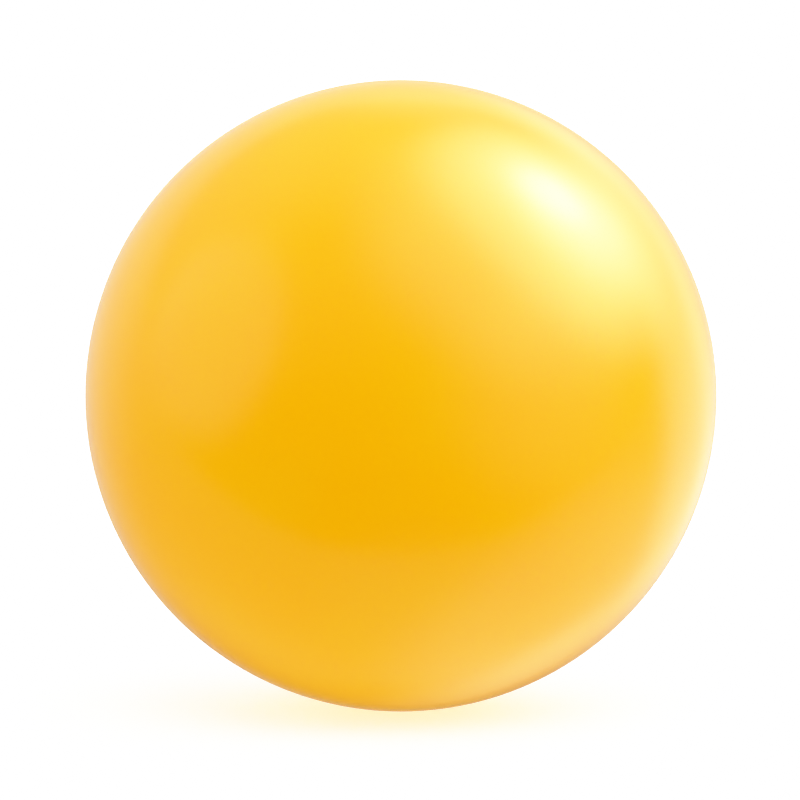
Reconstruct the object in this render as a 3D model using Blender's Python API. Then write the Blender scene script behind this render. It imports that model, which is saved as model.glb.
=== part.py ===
"""Playground ball: a nylon-wound, two-ply rubber ball with a needle valve.

The origin is the ball's centre and +Z is up. Every piece is turned about the valve's
axis, which runs through the centre and leaves the ball at +Y. From the outside in, the
wall is a moulded cover, a winding of nylon thread and a butyl bladder. The valve housing
is bonded inside the bladder over a patch, and its neck passes out through the whole wall.
The valve core is a rubber plug that pushes into the housing and pulls out along the axis.
"""

import math

import bmesh
import bpy
from mathutils import Vector

# Driving dimensions, in metres.
BALL_DIAMETER = 0.216
COVER_WALL = 0.0017
WINDING_WALL = 0.0005
BLADDER_WALL = 0.0006
PATCH_WALL = 0.0008
GAP = 0.0003

NECK_RADIUS = 0.0046
NECK_RECESS = 0.0005
HOLE_LIP = 0.0005
PATCH_RADIUS = 0.024
FLANGE_RADIUS = 0.017
FLANGE_WALL = 0.0014
FLANGE_EDGE_WALL = 0.0005
BOSS_RADIUS = 0.0055
BOSS_LENGTH = 0.0200
BOSS_ROUND = 0.0020

CORE_LENGTH = 0.0142
CORE_RECESS = 0.0002
CORE_HEAD_RADIUS = 0.0029
CORE_HEAD_WALL = 0.0011
CORE_HEAD_ROUND = 0.0003
CORE_SHANK_RADIUS = 0.0020
NEEDLE_MOUTH_RADIUS = 0.0009
NEEDLE_MOUTH_DEPTH = 0.0014

# How finely the round shapes are divided: steps around the axis, then steps along a
# profile. The layers of the wall share their rings, and the inner ones have half the
# cover's steps around, so that the flats of one layer stay clear of the next.
COVER_STEPS = 60
LINING_STEPS = 30
VALVE_STEPS = 24
WALL_RINGS = 30
PATCH_RINGS = 6
FLANGE_RINGS = 5
FILLET_STEPS = 4
SHARP_ANGLE = math.radians(30)
WELD_DISTANCE = 1e-6

# Radii from the centre of the ball, and heights along the valve's axis.
BALL_RADIUS = BALL_DIAMETER / 2
WINDING_RADIUS = BALL_RADIUS - COVER_WALL - GAP
BLADDER_RADIUS = WINDING_RADIUS - WINDING_WALL - GAP
PATCH_TOP = BLADDER_RADIUS - BLADDER_WALL - GAP
FLANGE_TOP = PATCH_TOP - PATCH_WALL - GAP
HOLE_RADIUS = NECK_RADIUS + GAP
NECK_TOP = BALL_RADIUS - NECK_RECESS
BOSS_BOTTOM = NECK_TOP - BOSS_LENGTH
CORE_TOP = NECK_TOP - CORE_RECESS
CORE_BOTTOM = CORE_TOP - CORE_LENGTH
HEAD_BOTTOM = CORE_TOP - CORE_HEAD_WALL


def rubber(name, colour, roughness):
    """A plain moulded material: a linear RGB colour and a roughness."""
    material = bpy.data.materials.new(name)
    material.use_nodes = True
    shader = material.node_tree.nodes["Principled BSDF"]
    shader.inputs["Base Color"].default_value = (*colour, 1.0)
    shader.inputs["Roughness"].default_value = roughness
    shader.inputs["Metallic"].default_value = 0.0
    return material


def on_sphere(radius, angle):
    """The profile point, as (radius, height), at that angle from the valve's axis."""
    return radius * math.sin(angle), radius * math.cos(angle)


def angle_at(distance, radius):
    """The angle from the valve's axis at which a sphere is that distance out from it."""
    return math.asin(distance / radius)


def cap(radius, start, end, steps):
    """Profile points on a sphere about the ball's centre, from one angle to another."""
    return [on_sphere(radius, start + (end - start) * i / steps) for i in range(steps + 1)]


def fillet(centre, radius, start_deg, end_deg):
    """Profile points on a small arc. 0 degrees is straight out, and 90 is along the axis."""
    points = []
    for i in range(FILLET_STEPS + 1):
        angle = math.radians(start_deg + (end_deg - start_deg) * i / FILLET_STEPS)
        points.append((centre[0] + radius * math.cos(angle), centre[1] + radius * math.sin(angle)))
    return points


def turned(name, profile, steps, material, axis):
    """A solid of revolution about the valve's axis, as its own object.

    The profile is a list of (radius, height) points. Either it starts and ends on the
    axis, where its points are welded into one, or it is closed by a last edge.
    """
    shape = bmesh.new()
    points = [shape.verts.new((radius, 0.0, height)) for radius, height in profile]
    ends = list(zip(points, points[1:]))
    if profile[0][0] > WELD_DISTANCE:
        ends.append((points[-1], points[0]))
    edges = [shape.edges.new(pair) for pair in ends]
    bmesh.ops.spin(
        shape,
        geom=points + edges,
        cent=(0, 0, 0),
        axis=(0, 0, 1),
        angle=math.tau,
        steps=steps,
        use_merge=True,
    )
    bmesh.ops.remove_doubles(shape, verts=shape.verts, dist=WELD_DISTANCE)
    bmesh.ops.recalc_face_normals(shape, faces=shape.faces)
    mesh = bpy.data.meshes.new(name)
    shape.to_mesh(mesh)
    shape.free()
    mesh.shade_smooth()
    mesh.set_sharp_from_angle(angle=SHARP_ANGLE)
    mesh.materials.append(material)
    piece = bpy.data.objects.new(name, mesh)
    bpy.context.scene.collection.objects.link(piece)
    piece.parent = axis
    return piece


def wall_side(radius, hole_angle):
    """One side of a layer of the wall: even rings from the far pole to the valve's hole."""
    step = math.pi / WALL_RINGS
    angles = [math.pi - step * i for i in range(1, WALL_RINGS)]
    rings = [angle for angle in angles if angle > hole_angle]
    return [(0.0, -radius)] + [on_sphere(radius, angle) for angle in rings + [hole_angle]]


def lining_profile(outer_radius, wall):
    """A layer inside the cover: a hollow ball with a round hole for the valve's neck."""
    inner_radius = outer_radius - wall
    outer = wall_side(outer_radius, angle_at(HOLE_RADIUS, outer_radius))
    inner = wall_side(inner_radius, angle_at(HOLE_RADIUS, inner_radius))
    return outer + inner[::-1]


def cover_profile():
    """The cover: a hollow ball whose hole for the valve's neck has a rounded outer lip."""
    lip_centre_radius = BALL_RADIUS - HOLE_LIP
    lip_angle = angle_at(HOLE_RADIUS + HOLE_LIP, lip_centre_radius)
    lip_centre = on_sphere(lip_centre_radius, lip_angle)
    lip = fillet(lip_centre, HOLE_LIP, 90 - math.degrees(lip_angle), 180)
    inner_radius = BALL_RADIUS - COVER_WALL
    inner = wall_side(inner_radius, angle_at(HOLE_RADIUS, inner_radius))
    return wall_side(BALL_RADIUS, lip_angle)[:-1] + lip + inner[::-1]


def patch_profile():
    """The reinforcing disc over the housing's flange, cupped to the ball."""
    bottom = PATCH_TOP - PATCH_WALL
    rim = angle_at(PATCH_RADIUS, PATCH_TOP)
    outer = cap(PATCH_TOP, rim, angle_at(HOLE_RADIUS, PATCH_TOP), PATCH_RINGS)
    inner = cap(bottom, angle_at(HOLE_RADIUS, bottom), rim, PATCH_RINGS)
    return outer + inner


def flange_profile():
    """The cupped flange's two sides, out along the top and back under a tapering wall."""
    rim = angle_at(FLANGE_RADIUS, FLANGE_TOP)
    boss_side = angle_at(BOSS_RADIUS, FLANGE_TOP - FLANGE_WALL)
    top = cap(FLANGE_TOP, angle_at(NECK_RADIUS, FLANGE_TOP), rim, FLANGE_RINGS)
    under = []
    for i in range(FLANGE_RINGS + 1):
        share = i / FLANGE_RINGS
        wall = FLANGE_EDGE_WALL + (FLANGE_WALL - FLANGE_EDGE_WALL) * share
        under.append(on_sphere(FLANGE_TOP - wall, rim + (boss_side - rim) * share))
    return top + under


def housing_profile():
    """The housing: a neck and a flange above a blind boss, with the core's stepped pocket."""
    shank_radius = CORE_SHANK_RADIUS + GAP
    head_radius = CORE_HEAD_RADIUS + GAP
    head_seat = HEAD_BOTTOM - GAP
    pocket_bottom = CORE_BOTTOM - GAP
    boss_round_centre = (BOSS_RADIUS - BOSS_ROUND, BOSS_BOTTOM + BOSS_ROUND)
    return [
        (0.0, pocket_bottom),
        *fillet((0.0, pocket_bottom + shank_radius), shank_radius, -90, 0)[1:],
        (shank_radius, head_seat),
        (head_radius, head_seat),
        (head_radius, NECK_TOP),
        (NECK_RADIUS, NECK_TOP),
        *flange_profile(),
        *fillet(boss_round_centre, BOSS_ROUND, 0, -90),
        (0.0, BOSS_BOTTOM),
    ]


def core_profile():
    """The core: a flat head with a needle's mouth, on a straight shank with a round end."""
    head_round_centre = (CORE_HEAD_RADIUS - CORE_HEAD_ROUND, CORE_TOP - CORE_HEAD_ROUND)
    return [
        (0.0, CORE_TOP - NEEDLE_MOUTH_DEPTH),
        (NEEDLE_MOUTH_RADIUS, CORE_TOP),
        *fillet(head_round_centre, CORE_HEAD_ROUND, 90, 0),
        (CORE_HEAD_RADIUS, HEAD_BOTTOM),
        (CORE_SHANK_RADIUS, HEAD_BOTTOM),
        *fillet((0.0, CORE_BOTTOM + CORE_SHANK_RADIUS), CORE_SHANK_RADIUS, 0, -90)[:-1],
        (0.0, CORE_BOTTOM),
    ]


def valve_axis():
    """An empty at the ball's centre whose own +Z points out along the valve, at +Y."""
    axis = bpy.data.objects.new("valve_axis", None)
    bpy.context.scene.collection.objects.link(axis)
    axis.rotation_mode = "QUATERNION"
    axis.rotation_quaternion = Vector((0, 1, 0)).to_track_quat("Z", "X")
    return axis


def main():
    for leftover in list(bpy.data.objects):
        bpy.data.objects.remove(leftover)

    cover_rubber = rubber("cover_rubber", (0.93, 0.46, 0.005), 0.32)
    nylon_thread = rubber("nylon_thread", (0.75, 0.72, 0.62), 0.60)
    butyl_rubber = rubber("butyl_rubber", (0.020, 0.020, 0.022), 0.55)
    patch_rubber = rubber("patch_rubber", (0.040, 0.035, 0.030), 0.70)
    valve_rubber = rubber("valve_rubber", (0.90, 0.44, 0.005), 0.40)
    core_rubber = rubber("core_rubber", (0.030, 0.030, 0.030), 0.45)

    winding_profile = lining_profile(WINDING_RADIUS, WINDING_WALL)
    bladder_profile = lining_profile(BLADDER_RADIUS, BLADDER_WALL)

    axis = valve_axis()
    turned("cover", cover_profile(), COVER_STEPS, cover_rubber, axis)
    turned("winding", winding_profile, LINING_STEPS, nylon_thread, axis)
    turned("bladder", bladder_profile, LINING_STEPS, butyl_rubber, axis)
    turned("valve_patch", patch_profile(), VALVE_STEPS, patch_rubber, axis)
    turned("valve_housing", housing_profile(), VALVE_STEPS, valve_rubber, axis)
    turned("valve_core", core_profile(), VALVE_STEPS, core_rubber, axis)


main()
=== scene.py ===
"""Looks of the playground ball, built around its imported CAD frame.

Every piece of the ball is turned about the valve's axis, which is the frame's +Y, so each
has a profile of (radius, height) points, with heights along that axis. Lengths are metres.
"""

import math

import bmesh
import bpy
import numpy as np
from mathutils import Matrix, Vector


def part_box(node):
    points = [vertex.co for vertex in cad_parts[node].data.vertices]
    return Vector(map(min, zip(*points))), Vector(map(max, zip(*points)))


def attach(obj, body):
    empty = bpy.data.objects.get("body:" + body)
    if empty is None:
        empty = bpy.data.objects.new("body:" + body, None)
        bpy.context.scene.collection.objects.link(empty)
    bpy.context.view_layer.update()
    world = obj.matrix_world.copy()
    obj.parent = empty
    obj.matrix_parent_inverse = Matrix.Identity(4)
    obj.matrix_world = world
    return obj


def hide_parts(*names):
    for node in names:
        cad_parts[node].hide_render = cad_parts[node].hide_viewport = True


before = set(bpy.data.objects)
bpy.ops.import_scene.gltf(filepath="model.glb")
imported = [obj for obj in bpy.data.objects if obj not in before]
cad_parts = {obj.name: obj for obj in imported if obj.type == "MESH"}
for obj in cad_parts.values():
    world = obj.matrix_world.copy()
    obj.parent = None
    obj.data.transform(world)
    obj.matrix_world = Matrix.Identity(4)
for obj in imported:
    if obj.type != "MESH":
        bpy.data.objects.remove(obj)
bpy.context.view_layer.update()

# How finely the pieces are divided: steps around the axis, the angle between the rings of
# the wall, and steps along a profile.
COVER_STEPS = 192
LINING_STEPS = 160
VALVE_STEPS = 72
RING_ANGLE = math.radians(1.5)
PATCH_RINGS = 24
FLANGE_RINGS = 16
FILLET_STEPS = 8
SHARP_ANGLE = math.radians(40)
WELD_DISTANCE = 1e-7

# Points of the frame this close in height are on one level.
SAME_LEVEL = 1e-5

# The clearance that the frame leaves between the valve's pieces.
GAP = 0.0003

# The cover's mould left a buffed parting line around the middle and a ring by the valve,
# with a shallow dish inside the ring.
LINE_HEIGHT = 0.00009
LINE_HALF_WIDTH = 0.00045
LINE_RINGS = 12
RING_RADIUS = 0.0112
RING_HEIGHT = 0.00028
RING_HALF_WIDTH = 0.0009
DISH_RADIUS = 0.0098
DISH_DEPTH = 0.00012
VALVE_RING_STEP = 0.00018
HOLE_LIP = 0.0005

# The winding is laid in flat bands of thread, each around a great circle of the ball. A
# later band lies higher than the ones it crosses. The strides mix up the order in which
# the bands are laid and tinted, so they have no factor in common with the count.
BAND_COUNT = 26
BAND_HALF_WIDTH = 0.0125
BAND_EDGE = 0.0012
BAND_HEIGHT = 0.00016
BAND_LOWEST_LEVEL = 0.35
BAND_FULL_SHARE = 0.97
BAND_LAY_STRIDE = 11
BAND_TINT_STRIDE = 7
TINT_LOWEST = 0.25
TINT_RANGE = 0.5
THREAD_PITCH = 0.0021
GOLDEN_ANGLE = math.pi * (3 - math.sqrt(5))

# Sizes inside the valve.
PATCH_EDGE_WALL = 0.00025
PATCH_BEVEL = 0.0035
FLANGE_WALL = 0.0014
FLANGE_EDGE_WALL = 0.0005
FLANGE_ROOT = 0.0012
NECK_ROUND = 0.00025
BOSS_RADIUS = 0.0055
BOSS_ROUND = 0.0020
BOSS_RIB_PITCH = 0.0032
BOSS_RIB_COUNT = 3
BOSS_RIB_RADIUS = 0.00035
CORE_HEAD_WALL = 0.0011
CORE_SHANK_RADIUS = 0.0020
CORE_ROUND = 0.00030
DIMPLE_RADIUS = 0.0013
DIMPLE_DEPTH = 0.0008
SLIT_LENGTH = 0.0022
SLIT_WIDTH = 0.00022
SLIT_DEPTH = 0.0024
SLIT_STEPS = 24
SLIT_RINGS = 12

# The camera looks along +Y from a little above the ball.
CAMERA_DISTANCE = 1.6
CAMERA_ELEVATION = 5
CAMERA_LENS = 210
CAMERA_AIM = Vector((-0.0003, 0.0, -0.0014))

FLOOR_SIZE = 60.0
FLOOR_ALBEDO = 0.65
FLOOR_GLOW = 0.55

# The picture's tone curve. Brightness is kept up to the knee. Above it a cubic, which
# leaves the knee at the same slope, eases it so that the white level comes out as white.
TONE_KNEE = 0.75
WHITE_LEVEL = TONE_KNEE + 3 * (1 - TONE_KNEE)
TONE_STEPS = 8

# Soft lights that shade the ball but don't show in its gloss, by direction from the ball:
# (azimuth, elevation, width in degrees, strength).
FILL = {
    "sky": (0, 90, 150, 3.85),
    "bounce": (0, -90, 140, 3.85),
    "low_front": (0, -55, 50, 0.25),
    "key": (8, 62, 40, 0.85),
    "upper_right": (70, 40, 40, 0.25),
    "window": (-110, 0, 80, 1.0),
    "right": (95, 4, 65, 1.2),
}

# What the gloss mirrors, as soft-edged discs: (azimuth, elevation, radius and edge in
# degrees, brightness). Discs add up where they overlap, and a shade takes light away.
MIRRORED = {
    # The soft box, up on the right and a little behind the ball, with the glow around it.
    "key": (107, 45, 16, 12, 5.4),
    "key_core": (115, 50, 9, 5, 4.0),
    "key_glow": (101, 47, 33, 12, 3.4),
    "key_halo": (64, 52, 40, 18, 1.7),
    # The room: its ceiling, a window on the left, pale walls and a dark place behind the ball.
    "ceiling": (-50, 60, 40, 25, 0.22),
    "window": (-78, 19, 28, 8, 0.8),
    "room_right": (58, 9, 32, 20, 0.6),
    "wall_left": (-158, 36, 52, 20, 0.52),
    "wall_right": (140, 5, 32, 10, 1.28),
    "wall_top": (172, 44, 12, 8, 0.4),
    "far_shade": (163, 6, 12, 9, -0.95),
    # The pale table, which ends close in front of the ball, and the ball's shade on it.
    "table": (180, -43, 83, 4, 0.3),
    "table_right": (110, -52, 33, 14, 0.8),
    "table_far": (157, -38, 14, 10, 0.6),
    "table_front": (20, -70, 26, 12, 0.12),
    "table_shade": (180, -34, 22, 14, -0.22),
}


# ---------------------------------------------------------------- what the frame measures


def points_of(node):
    """The points of a CAD node's mesh."""
    return [vertex.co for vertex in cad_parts[node].data.vertices]


def reach(node):
    """The least and the greatest distance of a node's points from the ball's centre."""
    distances = [point.length for point in points_of(node)]
    return min(distances), max(distances)


def off_axis(node, height):
    """The least and the greatest distance from the valve's axis of the points at a height."""
    level = [point for point in points_of(node) if abs(point.y - height) < SAME_LEVEL]
    distances = [math.hypot(point.x, point.z) for point in level]
    return min(distances), max(distances)


def hole_radius(node):
    """The radius of a layer's hole for the valve's neck."""
    return min(math.hypot(point.x, point.z) for point in points_of(node) if point.y > 0)


# ---------------------------------------------------------------- profiles


def on_sphere(radius, angle):
    """The profile point at that angle from the valve's axis."""
    return radius * math.sin(angle), radius * math.cos(angle)


def spread(start, end, steps):
    """Even values from start to end, both ends included."""
    return [start + (end - start) * i / steps for i in range(steps + 1)]


def spread_angles(start, end):
    """Angles in even steps of about RING_ANGLE, both ends included."""
    return spread(start, end, max(1, round(abs(end - start) / RING_ANGLE)))


def fillet(centre, radius, start_deg, end_deg):
    """Profile points on a small arc. 0 degrees is straight out, and 90 is along the axis."""
    points = []
    for degrees in spread(start_deg, end_deg, FILLET_STEPS):
        angle = math.radians(degrees)
        points.append((centre[0] + radius * math.cos(angle), centre[1] + radius * math.sin(angle)))
    return points


def swell(distance, half_width):
    """A smooth bump, 1 at no distance and 0 from half_width on."""
    if abs(distance) >= half_width:
        return 0.0
    return 0.5 + 0.5 * math.cos(math.pi * distance / half_width)


def share_of(distance, span):
    """The share of a span that a distance covers, from 0 to 1."""
    return min(max(distance / span, 0.0), 1.0)


def wall_side(radius, hole, lift=None, angles=None):
    """One side of a layer of the wall, from the far pole to its hole."""
    angles = angles or spread_angles(math.pi, math.asin(hole / radius))
    points = [(0.0, -radius)]
    for angle in angles[1:]:
        points.append(on_sphere(radius + (lift(angle) if lift else 0.0), angle))
    return points


def turned(name, profile, steps, material, move_point=None):
    """A solid of revolution about +Y. The profile is closed, or has both ends on the axis.

    move_point, where it is given, takes each point of the solid to its final place.
    """
    shape = bmesh.new()
    points = [shape.verts.new((radius, height, 0.0)) for radius, height in profile]
    ends = list(zip(points, points[1:]))
    if profile[0][0] > WELD_DISTANCE:
        ends.append((points[-1], points[0]))
    edges = [shape.edges.new(pair) for pair in ends]
    bmesh.ops.spin(
        shape,
        geom=points + edges,
        cent=(0, 0, 0),
        axis=(0, 1, 0),
        angle=math.tau,
        steps=steps,
        use_merge=True,
    )
    bmesh.ops.remove_doubles(shape, verts=shape.verts, dist=WELD_DISTANCE)
    bmesh.ops.recalc_face_normals(shape, faces=shape.faces)
    if move_point:
        for vertex in shape.verts:
            vertex.co = move_point(vertex.co)
    mesh = bpy.data.meshes.new(name)
    shape.to_mesh(mesh)
    shape.free()
    mesh.shade_smooth()
    mesh.set_sharp_from_angle(angle=SHARP_ANGLE)
    mesh.materials.append(material)
    piece = bpy.data.objects.new(name, mesh)
    bpy.context.scene.collection.objects.link(piece)
    return piece


# ---------------------------------------------------------------- materials


class Tree:
    """Short calls for building a node tree."""

    def __init__(self, owner):
        owner.use_nodes = True
        self.tree = owner.node_tree
        self.tree.nodes.clear()

    def node(self, kind, inputs=None, **settings):
        """A new node. Inputs are values, or sockets to link from."""
        made = self.tree.nodes.new("ShaderNode" + kind)
        for name, value in settings.items():
            setattr(made, name, value)
        for name, value in (inputs or {}).items():
            if isinstance(value, bpy.types.NodeSocket):
                self.tree.links.new(value, made.inputs[name])
            else:
                made.inputs[name].default_value = value
        return made

    def math(self, operation, first, second=0.0, third=0.0):
        """The result of one operation on up to three numbers."""
        inputs = {0: first, 1: second, 2: third}
        return self.node("Math", inputs, operation=operation).outputs[0]

    def dot(self, first, second):
        """How far one direction goes along another, from -1 to 1."""
        inputs = {0: first, 1: tuple(second)}
        return self.node("VectorMath", inputs, operation="DOT_PRODUCT").outputs["Value"]

    def between(self, value, low, high, to_low, to_high, smooth=False):
        """The value, carried from one range to another and held at its ends."""
        kind = "SMOOTHSTEP" if smooth else "LINEAR"
        inputs = {"Value": value, 1: low, 2: high, 3: to_low, 4: to_high}
        return self.node("MapRange", inputs, interpolation_type=kind).outputs[0]

    def noise(self, where, size, detail=3.0, rough=0.5):
        """Noise from 0 to 1 with lumps about as large as size."""
        inputs = {"Vector": where, "Scale": 1 / size, "Detail": detail, "Roughness": rough}
        return self.node("TexNoise", inputs).outputs["Fac"]

    def mix_value(self, factor, first, second):
        """A number between two numbers."""
        return self.node("Mix", {0: factor, 2: first, 3: second}).outputs[0]

    def mix(self, factor, first, second):
        """A colour between two colours."""
        inputs = {"Factor": factor, 6: first, 7: second}
        return self.node("Mix", inputs, data_type="RGBA").outputs[2]

    def bump(self, height, distance, before=None):
        """A normal tilted by a height from 0 to 1, whose 1 is distance high."""
        inputs = {"Height": height, "Distance": distance, "Strength": 1.0}
        if before:
            inputs["Normal"] = before
        return self.node("Bump", inputs).outputs[0]


def surface(name):
    """A new material, with its tree and the position on the piece."""
    material = bpy.data.materials.new(name)
    tree = Tree(material)
    return material, tree, tree.node("TexCoord").outputs["Object"]


def finish_surface(tree, inputs):
    """Ends a material in one Principled BSDF with these inputs."""
    shader = tree.node("BsdfPrincipled", inputs)
    tree.node("OutputMaterial", {"Surface": shader.outputs[0]})


def grey(level):
    """A colour of one level in red, green and blue."""
    return (level, level, level, 1.0)


def cover_rubber():
    """Smooth satin yellow rubber, with a soft orange peel and the faintest handling marks."""
    material, tree, where = surface("cover_rubber_yellow")
    rich = (0.98, 0.448, 0.0006, 1.0)
    pale = (0.965, 0.461, 0.0016, 1.0)
    scuffed = (0.93, 0.50, 0.02, 1.0)
    clouds = tree.noise(where, 0.055, detail=2.0)
    scuffs = tree.noise(where, 0.013, detail=6.0, rough=0.62)
    worn = tree.between(scuffs, 0.66, 0.78, 0.0, 1.0, smooth=True)
    colour = tree.mix(tree.between(clouds, 0.35, 0.65, 0.0, 1.0), rich, pale)
    colour = tree.mix(tree.math("MULTIPLY", worn, 0.10), colour, scuffed)
    rough = tree.between(clouds, 0.3, 0.7, 0.16, 0.19)
    rough = tree.math("ADD", rough, tree.math("MULTIPLY", worn, 0.05))
    peel = tree.bump(tree.noise(where, 0.0065, detail=1.0), 0.000010)
    grain = tree.bump(tree.noise(where, 0.0028, detail=1.0), 0.000002, before=peel)
    finish_surface(tree, {"Base Color": colour, "Roughness": rough, "Normal": grain, "IOR": 1.5})
    return material


def band_axes():
    """The poles of the winding's bands, spread evenly over half the sphere and in laid order."""
    axes = []
    for i in range(BAND_COUNT):
        order = (i * BAND_LAY_STRIDE) % BAND_COUNT
        height = (order + 0.5) / BAND_COUNT
        turn = order * GOLDEN_ANGLE
        width = math.sqrt(1 - height * height)
        axes.append(Vector((width * math.cos(turn), width * math.sin(turn), height)))
    return axes


def thread_tops(tree, off_middle, radius):
    """The round tops of a band's threads, from 0 between them to 1."""
    phase = tree.math("MULTIPLY", off_middle, math.pi * radius / THREAD_PITCH)
    return tree.math("ABSOLUTE", tree.math("SINE", phase))


def nylon_thread(radius):
    """Off-white thread laid in bands, each across the ones below, under thin rubber cement, with
    shade painted into the gaps between threads.
    """
    material, tree, where = surface("nylon_thread_wound")
    dull = (0.60, 0.55, 0.42, 1.0)
    clean = (0.82, 0.79, 0.70, 1.0)
    # The colour of the shade painted into the gaps between threads.
    gap_shade_colour = (0.20, 0.15, 0.08, 1.0)
    outward = tree.node("VectorMath", {0: where}, operation="NORMALIZE").outputs[0]
    edge = BAND_HALF_WIDTH / radius
    full = edge * BAND_FULL_SHARE
    first, *later = band_axes()
    height = thread_tops(tree, tree.dot(outward, first), radius)
    tint = TINT_LOWEST + TINT_RANGE / 2
    for i, axis in enumerate(later, start=1):
        off_middle = tree.dot(outward, axis)
        inside = tree.between(tree.math("ABSOLUTE", off_middle), full, edge, 1.0, 0.0)
        height = tree.mix_value(inside, height, thread_tops(tree, off_middle, radius))
        shade = TINT_LOWEST + TINT_RANGE * ((i * BAND_TINT_STRIDE) % BAND_COUNT) / BAND_COUNT
        tint = tree.mix_value(inside, tint, shade)
    # Painted shade: the gaps between thread tops are darkened, unevenly with the cement noise.
    gaps = tree.between(height, 0.05, 0.55, 1.0, 0.0, smooth=True)
    cement = tree.noise(where, 0.02, detail=4.0)
    painted_gap_shade = tree.math("MULTIPLY", gaps, tree.between(cement, 0.35, 0.6, 0.45, 0.9))
    colour = tree.mix(painted_gap_shade, tree.mix(tint, dull, clean), gap_shade_colour)
    rough = tree.between(cement, 0.3, 0.7, 0.50, 0.75)
    threads = tree.bump(height, 0.00022)
    finish_surface(tree, {"Base Color": colour, "Roughness": rough, "Normal": threads})
    return material


def butyl_rubber():
    """Black butyl with the grey bloom of moulding talc."""
    material, tree, where = surface("butyl_rubber_black")
    black = (0.012, 0.012, 0.014, 1.0)
    bloom = (0.10, 0.10, 0.097, 1.0)
    clouds = tree.noise(where, 0.018, detail=8.0, rough=0.7)
    talc = tree.between(clouds, 0.45, 0.75, 0.0, 0.45, smooth=True)
    rough = tree.between(clouds, 0.35, 0.7, 0.42, 0.80)
    flow = tree.bump(tree.noise(where, 0.006, detail=3.0), 0.00005)
    colour = tree.mix(talc, black, bloom)
    finish_surface(tree, {"Base Color": colour, "Roughness": rough, "Normal": flow})
    return material


def patch_rubber():
    """Dark gum rubber, buffed before it was bonded."""
    material, tree, where = surface("patch_rubber_buffed")
    dark = (0.045, 0.034, 0.026, 1.0)
    buffed = (0.100, 0.078, 0.058, 1.0)
    coarse = tree.noise(where, 0.004, detail=4.0, rough=0.65)
    fine = tree.noise(where, 0.0009, detail=3.0, rough=0.7)
    colour = tree.mix(coarse, dark, buffed)
    rough = tree.between(fine, 0.3, 0.7, 0.62, 0.88)
    scores = tree.bump(fine, 0.00006)
    finish_surface(tree, {"Base Color": colour, "Roughness": rough, "Normal": scores})
    return material


def valve_rubber():
    """The housing's moulded yellow rubber, a little duller than the cover."""
    material, tree, where = surface("valve_rubber_yellow")
    deep = (0.86, 0.38, 0.004, 1.0)
    light = (0.92, 0.45, 0.008, 1.0)
    clouds = tree.noise(where, 0.004, detail=3.0)
    colour = tree.mix(clouds, deep, light)
    rough = tree.between(clouds, 0.3, 0.7, 0.40, 0.52)
    grain = tree.bump(tree.noise(where, 0.0006, detail=2.0), 0.00002)
    finish_surface(tree, {"Base Color": colour, "Roughness": rough, "Normal": grain})
    return material


def core_rubber():
    """Soft black rubber with a fine grain and uneven polish."""
    material, tree, where = surface("core_rubber_black")
    black = (0.014, 0.014, 0.015, 1.0)
    dusty = (0.045, 0.043, 0.040, 1.0)
    clouds = tree.noise(where, 0.003, detail=3.0)
    colour = tree.mix(clouds, black, dusty)
    rough = tree.between(clouds, 0.3, 0.7, 0.34, 0.55)
    grain = tree.bump(tree.noise(where, 0.0005, detail=2.0), 0.00002)
    finish_surface(tree, {"Base Color": colour, "Roughness": rough, "Normal": grain})
    return material


# ---------------------------------------------------------------- pieces


def stand_in(piece, node, body):
    """The piece stands for a CAD node, which it hides, and moves with its body."""
    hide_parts(node)
    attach(piece, body)


def cover_lift(radius):
    """How far the cover's mould stands proud of the ball, by angle from the valve's axis."""

    def lift(angle):
        from_axis = radius * angle
        from_line = radius * (angle - math.pi / 2)
        line = LINE_HEIGHT * swell(from_line, LINE_HALF_WIDTH)
        ring = RING_HEIGHT * swell(from_axis - RING_RADIUS, RING_HALF_WIDTH)
        inside_dish = share_of(DISH_RADIUS - from_axis, RING_HALF_WIDTH)
        dish = DISH_DEPTH * (0.5 - 0.5 * math.cos(math.pi * inside_dish))
        return line + ring - dish

    return lift


def cover_angles(radius, hole_angle):
    """The cover's rings: even ones, and close ones over the parting line and by the valve."""
    line = math.pi / 2
    line_reach = LINE_HALF_WIDTH / radius
    valve_reach = (RING_RADIUS + RING_HALF_WIDTH) / radius
    valve_rings = round((valve_reach - hole_angle) * radius / VALVE_RING_STEP)
    below = spread_angles(math.pi, line + line_reach)
    across = spread(line + line_reach, line - line_reach, LINE_RINGS)
    above = spread_angles(line - line_reach, valve_reach)
    valve = spread(valve_reach, hole_angle, valve_rings)
    return below + across[1:-1] + above + valve[1:]


def make_cover():
    """The yellow shell, with its moulded line and ring, and a rounded lip at the hole."""
    inner_radius, radius = reach("cover")
    hole = hole_radius("cover")
    lip_centre_radius = radius - DISH_DEPTH - HOLE_LIP
    lip_angle = math.asin((hole + HOLE_LIP) / lip_centre_radius)
    lip_centre = on_sphere(lip_centre_radius, lip_angle)
    outer = wall_side(radius, hole, cover_lift(radius), cover_angles(radius, lip_angle))
    lip = fillet(lip_centre, HOLE_LIP, 90 - math.degrees(lip_angle), 180)
    inner = wall_side(inner_radius, hole)
    profile = outer[:-1] + lip + inner[::-1]
    cover = turned("ball_cover", profile, COVER_STEPS, cover_rubber())
    stand_in(cover, "cover", "ball")


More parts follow.
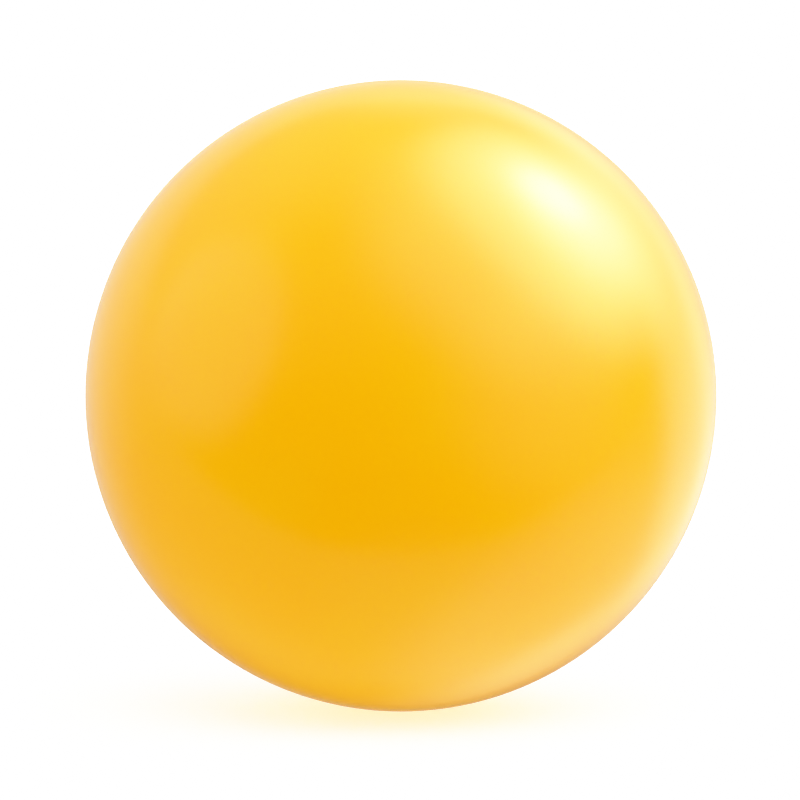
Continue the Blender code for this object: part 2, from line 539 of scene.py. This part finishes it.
def make_winding():
    """The layer of thread, stepped on its outer side where one band lies over another."""
    inner_radius, radius = reach("winding")
    hole = hole_radius("winding")
    middle = (inner_radius + radius) / 2
    axes = [np.array(axis) for axis in band_axes()]

    def laid(point):
        """Sinks a point of the outer side to the top of the highest band over it."""
        if point.length < middle:
            return point
        outward = np.array(point.normalized())
        raised = 0.0
        for i, axis in enumerate(axes):
            off_middle = abs(float(outward @ axis)) * radius
            share = share_of(BAND_HALF_WIDTH - off_middle, BAND_EDGE)
            level = BAND_LOWEST_LEVEL + (1 - BAND_LOWEST_LEVEL) * (i + 1) / BAND_COUNT
            raised = max(raised, level * share * share * (3 - 2 * share))
        return point * (1 - BAND_HEIGHT * (1 - raised) / radius)

    profile = wall_side(radius, hole) + wall_side(inner_radius, hole)[::-1]
    winding = turned("thread_winding", profile, LINING_STEPS, nylon_thread(radius), laid)
    stand_in(winding, "winding", "ball")


def make_bladder():
    """The thin black ball that holds the air."""
    inner_radius, radius = reach("bladder")
    hole = hole_radius("bladder")
    profile = wall_side(radius, hole) + wall_side(inner_radius, hole)[::-1]
    bladder = turned("air_bladder", profile, LINING_STEPS, butyl_rubber())
    stand_in(bladder, "bladder", "ball")


def make_patch():
    """The disc over the flange, with its rim ground down to a thin edge."""
    inner_radius, radius = reach("valve_patch")
    hole = hole_radius("valve_patch")
    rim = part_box("valve_patch")[1].x
    edge_radius = radius - PATCH_EDGE_WALL
    outer = []
    for distance in spread(rim, hole, PATCH_RINGS):
        outer.append(on_sphere(radius, math.asin(distance / radius)))
    inner = []
    for distance in spread(hole, rim, PATCH_RINGS):
        thinned = share_of(distance - rim + PATCH_BEVEL, PATCH_BEVEL)
        under = inner_radius + (edge_radius - inner_radius) * thinned
        inner.append(on_sphere(under, math.asin(distance / under)))
    patch = turned("valve_patch_disc", outer + inner, VALVE_STEPS, patch_rubber())
    stand_in(patch, "valve_patch", "ball")


def flange_sides(top_radius, neck, rim):
    """The flange's top, out from the neck to the rim, and its underside, back to the root."""
    start = math.asin(neck / top_radius)
    edge = math.asin(rim / top_radius)
    root = math.asin((BOSS_RADIUS + FLANGE_ROOT) / (top_radius - FLANGE_WALL))
    top = [on_sphere(top_radius, angle) for angle in spread(start, edge, FLANGE_RINGS)]
    walls = spread(FLANGE_EDGE_WALL, FLANGE_WALL, FLANGE_RINGS)
    angles = spread(edge, root, FLANGE_RINGS)
    under = [on_sphere(top_radius - wall, angle) for wall, angle in zip(walls, angles)]
    return top, under


def boss_side(top, bottom):
    """The boss's side, down from the flange, with round ribs that grip it in the mould."""
    points = []
    for rib in range(BOSS_RIB_COUNT):
        centre = (BOSS_RADIUS, top - BOSS_RIB_PITCH * (rib + 1))
        points += fillet(centre, BOSS_RIB_RADIUS, 90, -90)
    end = fillet((BOSS_RADIUS - BOSS_ROUND, bottom + BOSS_ROUND), BOSS_ROUND, 0, -90)
    return points + end


def make_housing():
    """The neck, the cupped flange and the ribbed blind boss, around the core's pocket."""
    low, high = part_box("valve_housing")
    core_low, core_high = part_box("valve_core")
    head_hole, neck = off_axis("valve_housing", high.y)
    flange_top = reach("valve_patch")[0] - GAP
    top_side, under_side = flange_sides(flange_top, neck, high.x)
    root_centre = (BOSS_RADIUS + FLANGE_ROOT, under_side[-1][1] - FLANGE_ROOT)
    shank = CORE_SHANK_RADIUS + GAP
    head_seat = core_high.y - CORE_HEAD_WALL - GAP
    pocket_bottom = core_low.y - GAP
    profile = [
        (0.0, pocket_bottom),
        *fillet((0.0, pocket_bottom + shank), shank, -90, 0)[1:],
        (shank, head_seat),
        (head_hole, head_seat),
        *fillet((head_hole + NECK_ROUND, high.y - NECK_ROUND), NECK_ROUND, 180, 90),
        *fillet((neck - NECK_ROUND, high.y - NECK_ROUND), NECK_ROUND, 90, 0),
        *top_side,
        *under_side[:-1],
        *fillet(root_centre, FLANGE_ROOT, 90, 180),
        *boss_side(root_centre[1], low.y),
        (0.0, low.y),
    ]
    housing = turned("valve_housing_moulding", profile, VALVE_STEPS, valve_rubber())
    stand_in(housing, "valve_housing", "ball")


def slit_cutter(top):
    """The needle's slit, as a thin lens down from the bottom of the dimple."""
    shape = bmesh.new()
    bmesh.ops.create_uvsphere(shape, u_segments=SLIT_STEPS, v_segments=SLIT_RINGS, radius=0.5)
    size = (SLIT_LENGTH, SLIT_DEPTH, SLIT_WIDTH)
    bmesh.ops.scale(shape, vec=size, verts=shape.verts)
    bmesh.ops.translate(shape, vec=(0, top - DIMPLE_DEPTH, 0), verts=shape.verts)
    mesh = bpy.data.meshes.new("slit")
    shape.to_mesh(mesh)
    shape.free()
    cutter = bpy.data.objects.new("slit", mesh)
    bpy.context.scene.collection.objects.link(cutter)
    return cutter


def weld(mesh):
    """Joins points of the mesh that lie on one another."""
    shape = bmesh.new()
    shape.from_mesh(mesh)
    bmesh.ops.remove_doubles(shape, verts=shape.verts, dist=WELD_DISTANCE)
    shape.to_mesh(mesh)
    shape.free()


def cut_away(piece, cutter):
    """Cuts the cutter out of the piece's mesh, and removes the cutter."""
    cut = piece.modifiers.new("cut", "BOOLEAN")
    cut.operation = "DIFFERENCE"
    cut.solver = "EXACT"
    cut.object = cutter
    depsgraph = bpy.context.evaluated_depsgraph_get()
    whole = bpy.data.meshes.new_from_object(piece.evaluated_get(depsgraph), depsgraph=depsgraph)
    piece.modifiers.remove(cut)
    weld(whole)
    whole.set_sharp_from_angle(angle=SHARP_ANGLE)
    piece.data = whole
    bpy.data.objects.remove(cutter)


def make_core():
    """The plug: a dimpled head that guides the needle, on a round-ended shank."""
    low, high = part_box("valve_core")
    head = high.x
    under_head = high.y - CORE_HEAD_WALL
    dimple = []
    for distance in spread(0.0, DIMPLE_RADIUS, FILLET_STEPS):
        dimple.append((distance, high.y - DIMPLE_DEPTH * swell(distance, DIMPLE_RADIUS)))
    profile = [
        *dimple,
        *fillet((head - CORE_ROUND, high.y - CORE_ROUND), CORE_ROUND, 90, 0),
        (head, under_head),
        (CORE_SHANK_RADIUS, under_head),
        *fillet((0.0, low.y + CORE_SHANK_RADIUS), CORE_SHANK_RADIUS, 0, -90)[:-1],
        (0.0, low.y),
    ]
    core = turned("valve_core_plug", profile, VALVE_STEPS, core_rubber())
    cut_away(core, slit_cutter(high.y))
    stand_in(core, "valve_core", "valve_core")


# ---------------------------------------------------------------- floor, light and camera


def towards(azimuth, elevation):
    """The direction at an azimuth right of the camera's side of the ball, in degrees."""
    turn = math.radians(azimuth)
    rise = math.radians(elevation)
    level = math.cos(rise)
    return Vector((math.sin(turn) * level, -math.cos(turn) * level, math.sin(rise)))


def pale_floor():
    """A plain pale paint that also glows, so that the ball's shadow on it is faint."""
    material = bpy.data.materials.new("pale_floor")
    inputs = {
        "Base Color": grey(FLOOR_ALBEDO),
        "Roughness": 0.9,
        "Emission Color": grey(1.0),
        "Emission Strength": FLOOR_GLOW,
    }
    finish_surface(Tree(material), inputs)
    # Sampled as a lamp, the glow would spot the ball with noise.
    material.cycles.emission_sampling = "NONE"
    return material


def make_floor():
    """A plain pale floor under the ball, which only the camera sees.

    The ball is lit from below by the bounce light, and its gloss mirrors the table's discs.
    """
    half = FLOOR_SIZE / 2
    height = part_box("cover")[0].z
    corners = [(x * half, y * half, height) for x, y in ((-1, -1), (1, -1), (1, 1), (-1, 1))]
    mesh = bpy.data.meshes.new("studio_floor")
    mesh.from_pydata(corners, [], [(0, 1, 2, 3)])
    mesh.materials.append(pale_floor())
    floor = bpy.data.objects.new("studio_floor", mesh)
    bpy.context.scene.collection.objects.link(floor)
    floor.visible_glossy = False
    floor.visible_diffuse = False
    floor.visible_shadow = False


def make_fill():
    """The soft lights that shade the ball."""
    for name, (azimuth, elevation, width, strength) in FILL.items():
        data = bpy.data.lights.new(name, "SUN")
        data.energy = strength
        data.angle = math.radians(width)
        data.cycles.use_multiple_importance_sampling = False
        light = bpy.data.objects.new(name, data)
        bpy.context.scene.collection.objects.link(light)
        light.visible_glossy = False
        light.rotation_mode = "QUATERNION"
        light.rotation_quaternion = towards(azimuth, elevation).to_track_quat("Z", "Y")


def mirrored_light(tree):
    """The brightness of the mirrored discs in each direction, never below 0."""
    outward = tree.node("TexCoord").outputs["Generated"]
    light = 0.0
    for azimuth, elevation, radius, edge, brightness in MIRRORED.values():
        off_centre = tree.math("ARCCOSINE", tree.dot(outward, towards(azimuth, elevation)))
        outside = math.radians(radius + edge)
        inside = math.radians(radius - edge)
        disc = tree.between(off_centre, outside, inside, 0.0, 1.0, smooth=True)
        light = tree.math("MULTIPLY_ADD", disc, brightness, light)
    return tree.math("MAXIMUM", light, 0.0)


def make_world():
    """The discs that show in the ball's gloss, and a plain white backdrop for the camera."""
    world = bpy.data.worlds.new("studio")
    bpy.context.scene.world = world
    world.cycles.sampling_method = "AUTOMATIC"
    # The discs are for the gloss only. The fill lights do the shading.
    world.cycles_visibility.diffuse = False
    tree = Tree(world)
    mirrored = tree.node("Background", {"Color": grey(1.0), "Strength": mirrored_light(tree)})
    backdrop = tree.node("Background", {"Color": grey(1.0), "Strength": WHITE_LEVEL})
    to_camera = tree.node("LightPath").outputs["Is Camera Ray"]
    shown = tree.node("MixShader", {0: to_camera, 1: mirrored.outputs[0], 2: backdrop.outputs[0]})
    tree.node("OutputWorld", {"Surface": shown.outputs[0]})


def set_tone():
    """Gives highlights a soft shoulder, as a camera's tone curve does.

    The curve runs from no light to the white level, and is straight up to the knee.
    """
    view = bpy.context.scene.view_settings
    view.view_transform = "Standard"
    view.use_curve_mapping = True
    mapping = view.curve_mapping
    mapping.white_level = (WHITE_LEVEL, WHITE_LEVEL, WHITE_LEVEL)
    mapping.extend = "HORIZONTAL"
    all_channels = mapping.curves[3].points
    for i in range(TONE_STEPS):
        share = i / TONE_STEPS
        brightness = TONE_KNEE + (WHITE_LEVEL - TONE_KNEE) * share
        level = TONE_KNEE + (1 - TONE_KNEE) * (1 - (1 - share) ** 3)
        all_channels.new(brightness / WHITE_LEVEL, level)
    for straight in all_channels[:2]:
        straight.handle_type = "VECTOR"
    mapping.update()


def make_camera():
    """The camera, a long lens aimed at the ball."""
    data = bpy.data.cameras.new("camera")
    data.lens = CAMERA_LENS
    camera = bpy.data.objects.new("camera", data)
    bpy.context.scene.collection.objects.link(camera)
    bpy.context.scene.camera = camera
    back = towards(0, CAMERA_ELEVATION)
    camera.location = CAMERA_AIM + back * CAMERA_DISTANCE
    camera.rotation_mode = "QUATERNION"
    camera.rotation_quaternion = back.to_track_quat("Z", "Y")


def main():
    make_cover()
    make_winding()
    make_bladder()
    make_patch()
    make_housing()
    make_core()
    make_floor()
    make_fill()
    make_world()
    make_camera()
    set_tone()


main()
